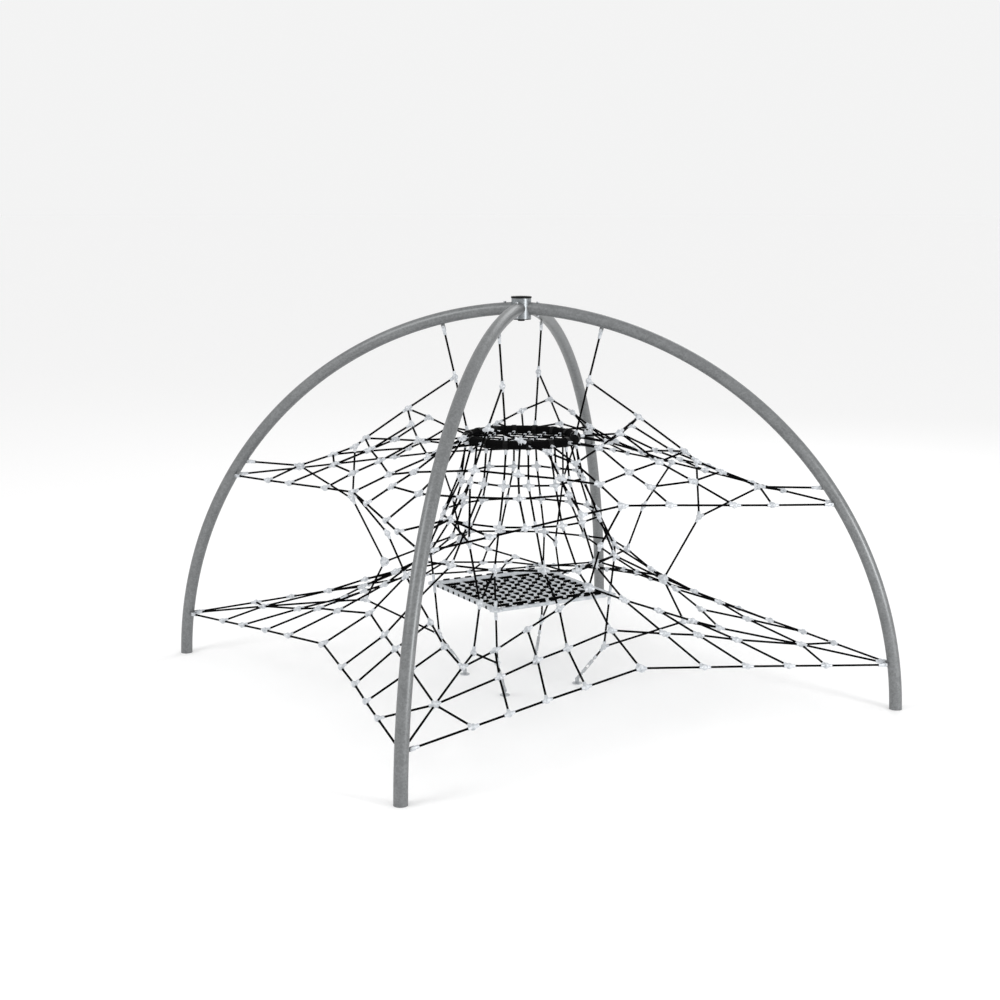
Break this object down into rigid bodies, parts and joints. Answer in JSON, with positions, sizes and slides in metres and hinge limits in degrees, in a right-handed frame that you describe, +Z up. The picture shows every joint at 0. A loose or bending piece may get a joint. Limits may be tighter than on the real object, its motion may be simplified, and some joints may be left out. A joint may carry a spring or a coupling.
{
  "type": "dome net climber",
  "caption": "Playground dome climber: bent steel legs meet at a crown and hold a two-level rope net with a central column, a round nest and a woven mat.",
  "frame": {"origin": "on the ground under the crown, at the centre of the dome", "axes": "+Z up; +X along the east leg, +Y along the north leg; each leg stands in an axis plane"},
  "size_m": [7.1144, 7.1144, 3.643],
  "materials": {
    "galvanised_tube": "satin",
    "galvanised_hub": "satin",
    "black_cover": "matte",
    "steel_fitting": "satin",
    "cast_alloy": "satin",
    "wrapped_ring": "matte",
    "net_rope": "matte"
  },
  "bodies": {
    "dome": {"leg_east": "galvanised_tube", "leg_north": "galvanised_tube", "leg_west": "galvanised_tube", "leg_south": "galvanised_tube", "crown_drum": "galvanised_hub", "crown_top_cover": "black_cover", "crown_bottom_cover": "black_cover", "crown_bolts": "galvanised_hub", "leg_shackles": "steel_fitting", "leg_shackle_pins": "steel_fitting", "hanger_ropes": "net_rope", "canopy_ridge_ropes": "net_rope", "canopy_edge_ropes": "net_rope", "canopy_row_ropes": "net_rope", "canopy_spoke_ropes": "net_rope", "drop_ropes": "net_rope", "column_uprights": "net_rope", "column_hoops": "net_rope", "lower_ridge_ropes": "net_rope", "lower_edge_ropes": "net_rope", "lower_row_ropes": "net_rope", "lower_spoke_ropes": "net_rope", "mat_hanging_ropes": "net_rope", "tie_ropes": "net_rope", "canopy_ridge_knots": "cast_alloy", "canopy_edge_knots": "cast_alloy", "canopy_mesh_knots": "cast_alloy", "drop_knots": "cast_alloy", "column_knots": "cast_alloy", "lower_ridge_knots": "cast_alloy", "lower_edge_knots": "cast_alloy", "lower_mesh_knots": "cast_alloy", "lower_inner_knots": "cast_alloy", "corner_plates": "cast_alloy", "tie_knots": "cast_alloy", "nest_ring": "wrapped_ring", "nest_clamps": "cast_alloy", "nest_net_ropes": "net_rope", "nest_net_clips": "cast_alloy", "mat_border": "cast_alloy", "mat_corners": "cast_alloy", "mat_rope_runs": "net_rope", "mat_clips": "cast_alloy", "mat_lacing": "net_rope", "tie_upper_screws": "steel_fitting", "tie_lower_screws": "steel_fitting", "tie_pins": "steel_fitting", "ground_anchors": "steel_fitting"},
    "barrel_east": {"barrel_east": "steel_fitting"},
    "barrel_north": {"barrel_north": "steel_fitting"},
    "barrel_west": {"barrel_west": "steel_fitting"},
    "barrel_south": {"barrel_south": "steel_fitting"}
  },
  "joints": [
    {"name": "turn_barrel_east", "type": "hinge", "parent": "dome", "child": "barrel_east", "pos_m": [0.65629, 0, 0.17606], "axis": [-0.6106, 0, -0.7919], "continuous": true},
    {"name": "turn_barrel_north", "type": "hinge", "parent": "dome", "child": "barrel_north", "pos_m": [0, 0.65629, 0.17606], "axis": [0, -0.6106, -0.7919], "continuous": true},
    {"name": "turn_barrel_west", "type": "hinge", "parent": "dome", "child": "barrel_west", "pos_m": [-0.65629, 0, 0.17606], "axis": [0.6106, 0, -0.7919], "continuous": true},
    {"name": "turn_barrel_south", "type": "hinge", "parent": "dome", "child": "barrel_south", "pos_m": [0, -0.65629, 0.17606], "axis": [0, 0.6106, -0.7919], "continuous": true}
  ]
}
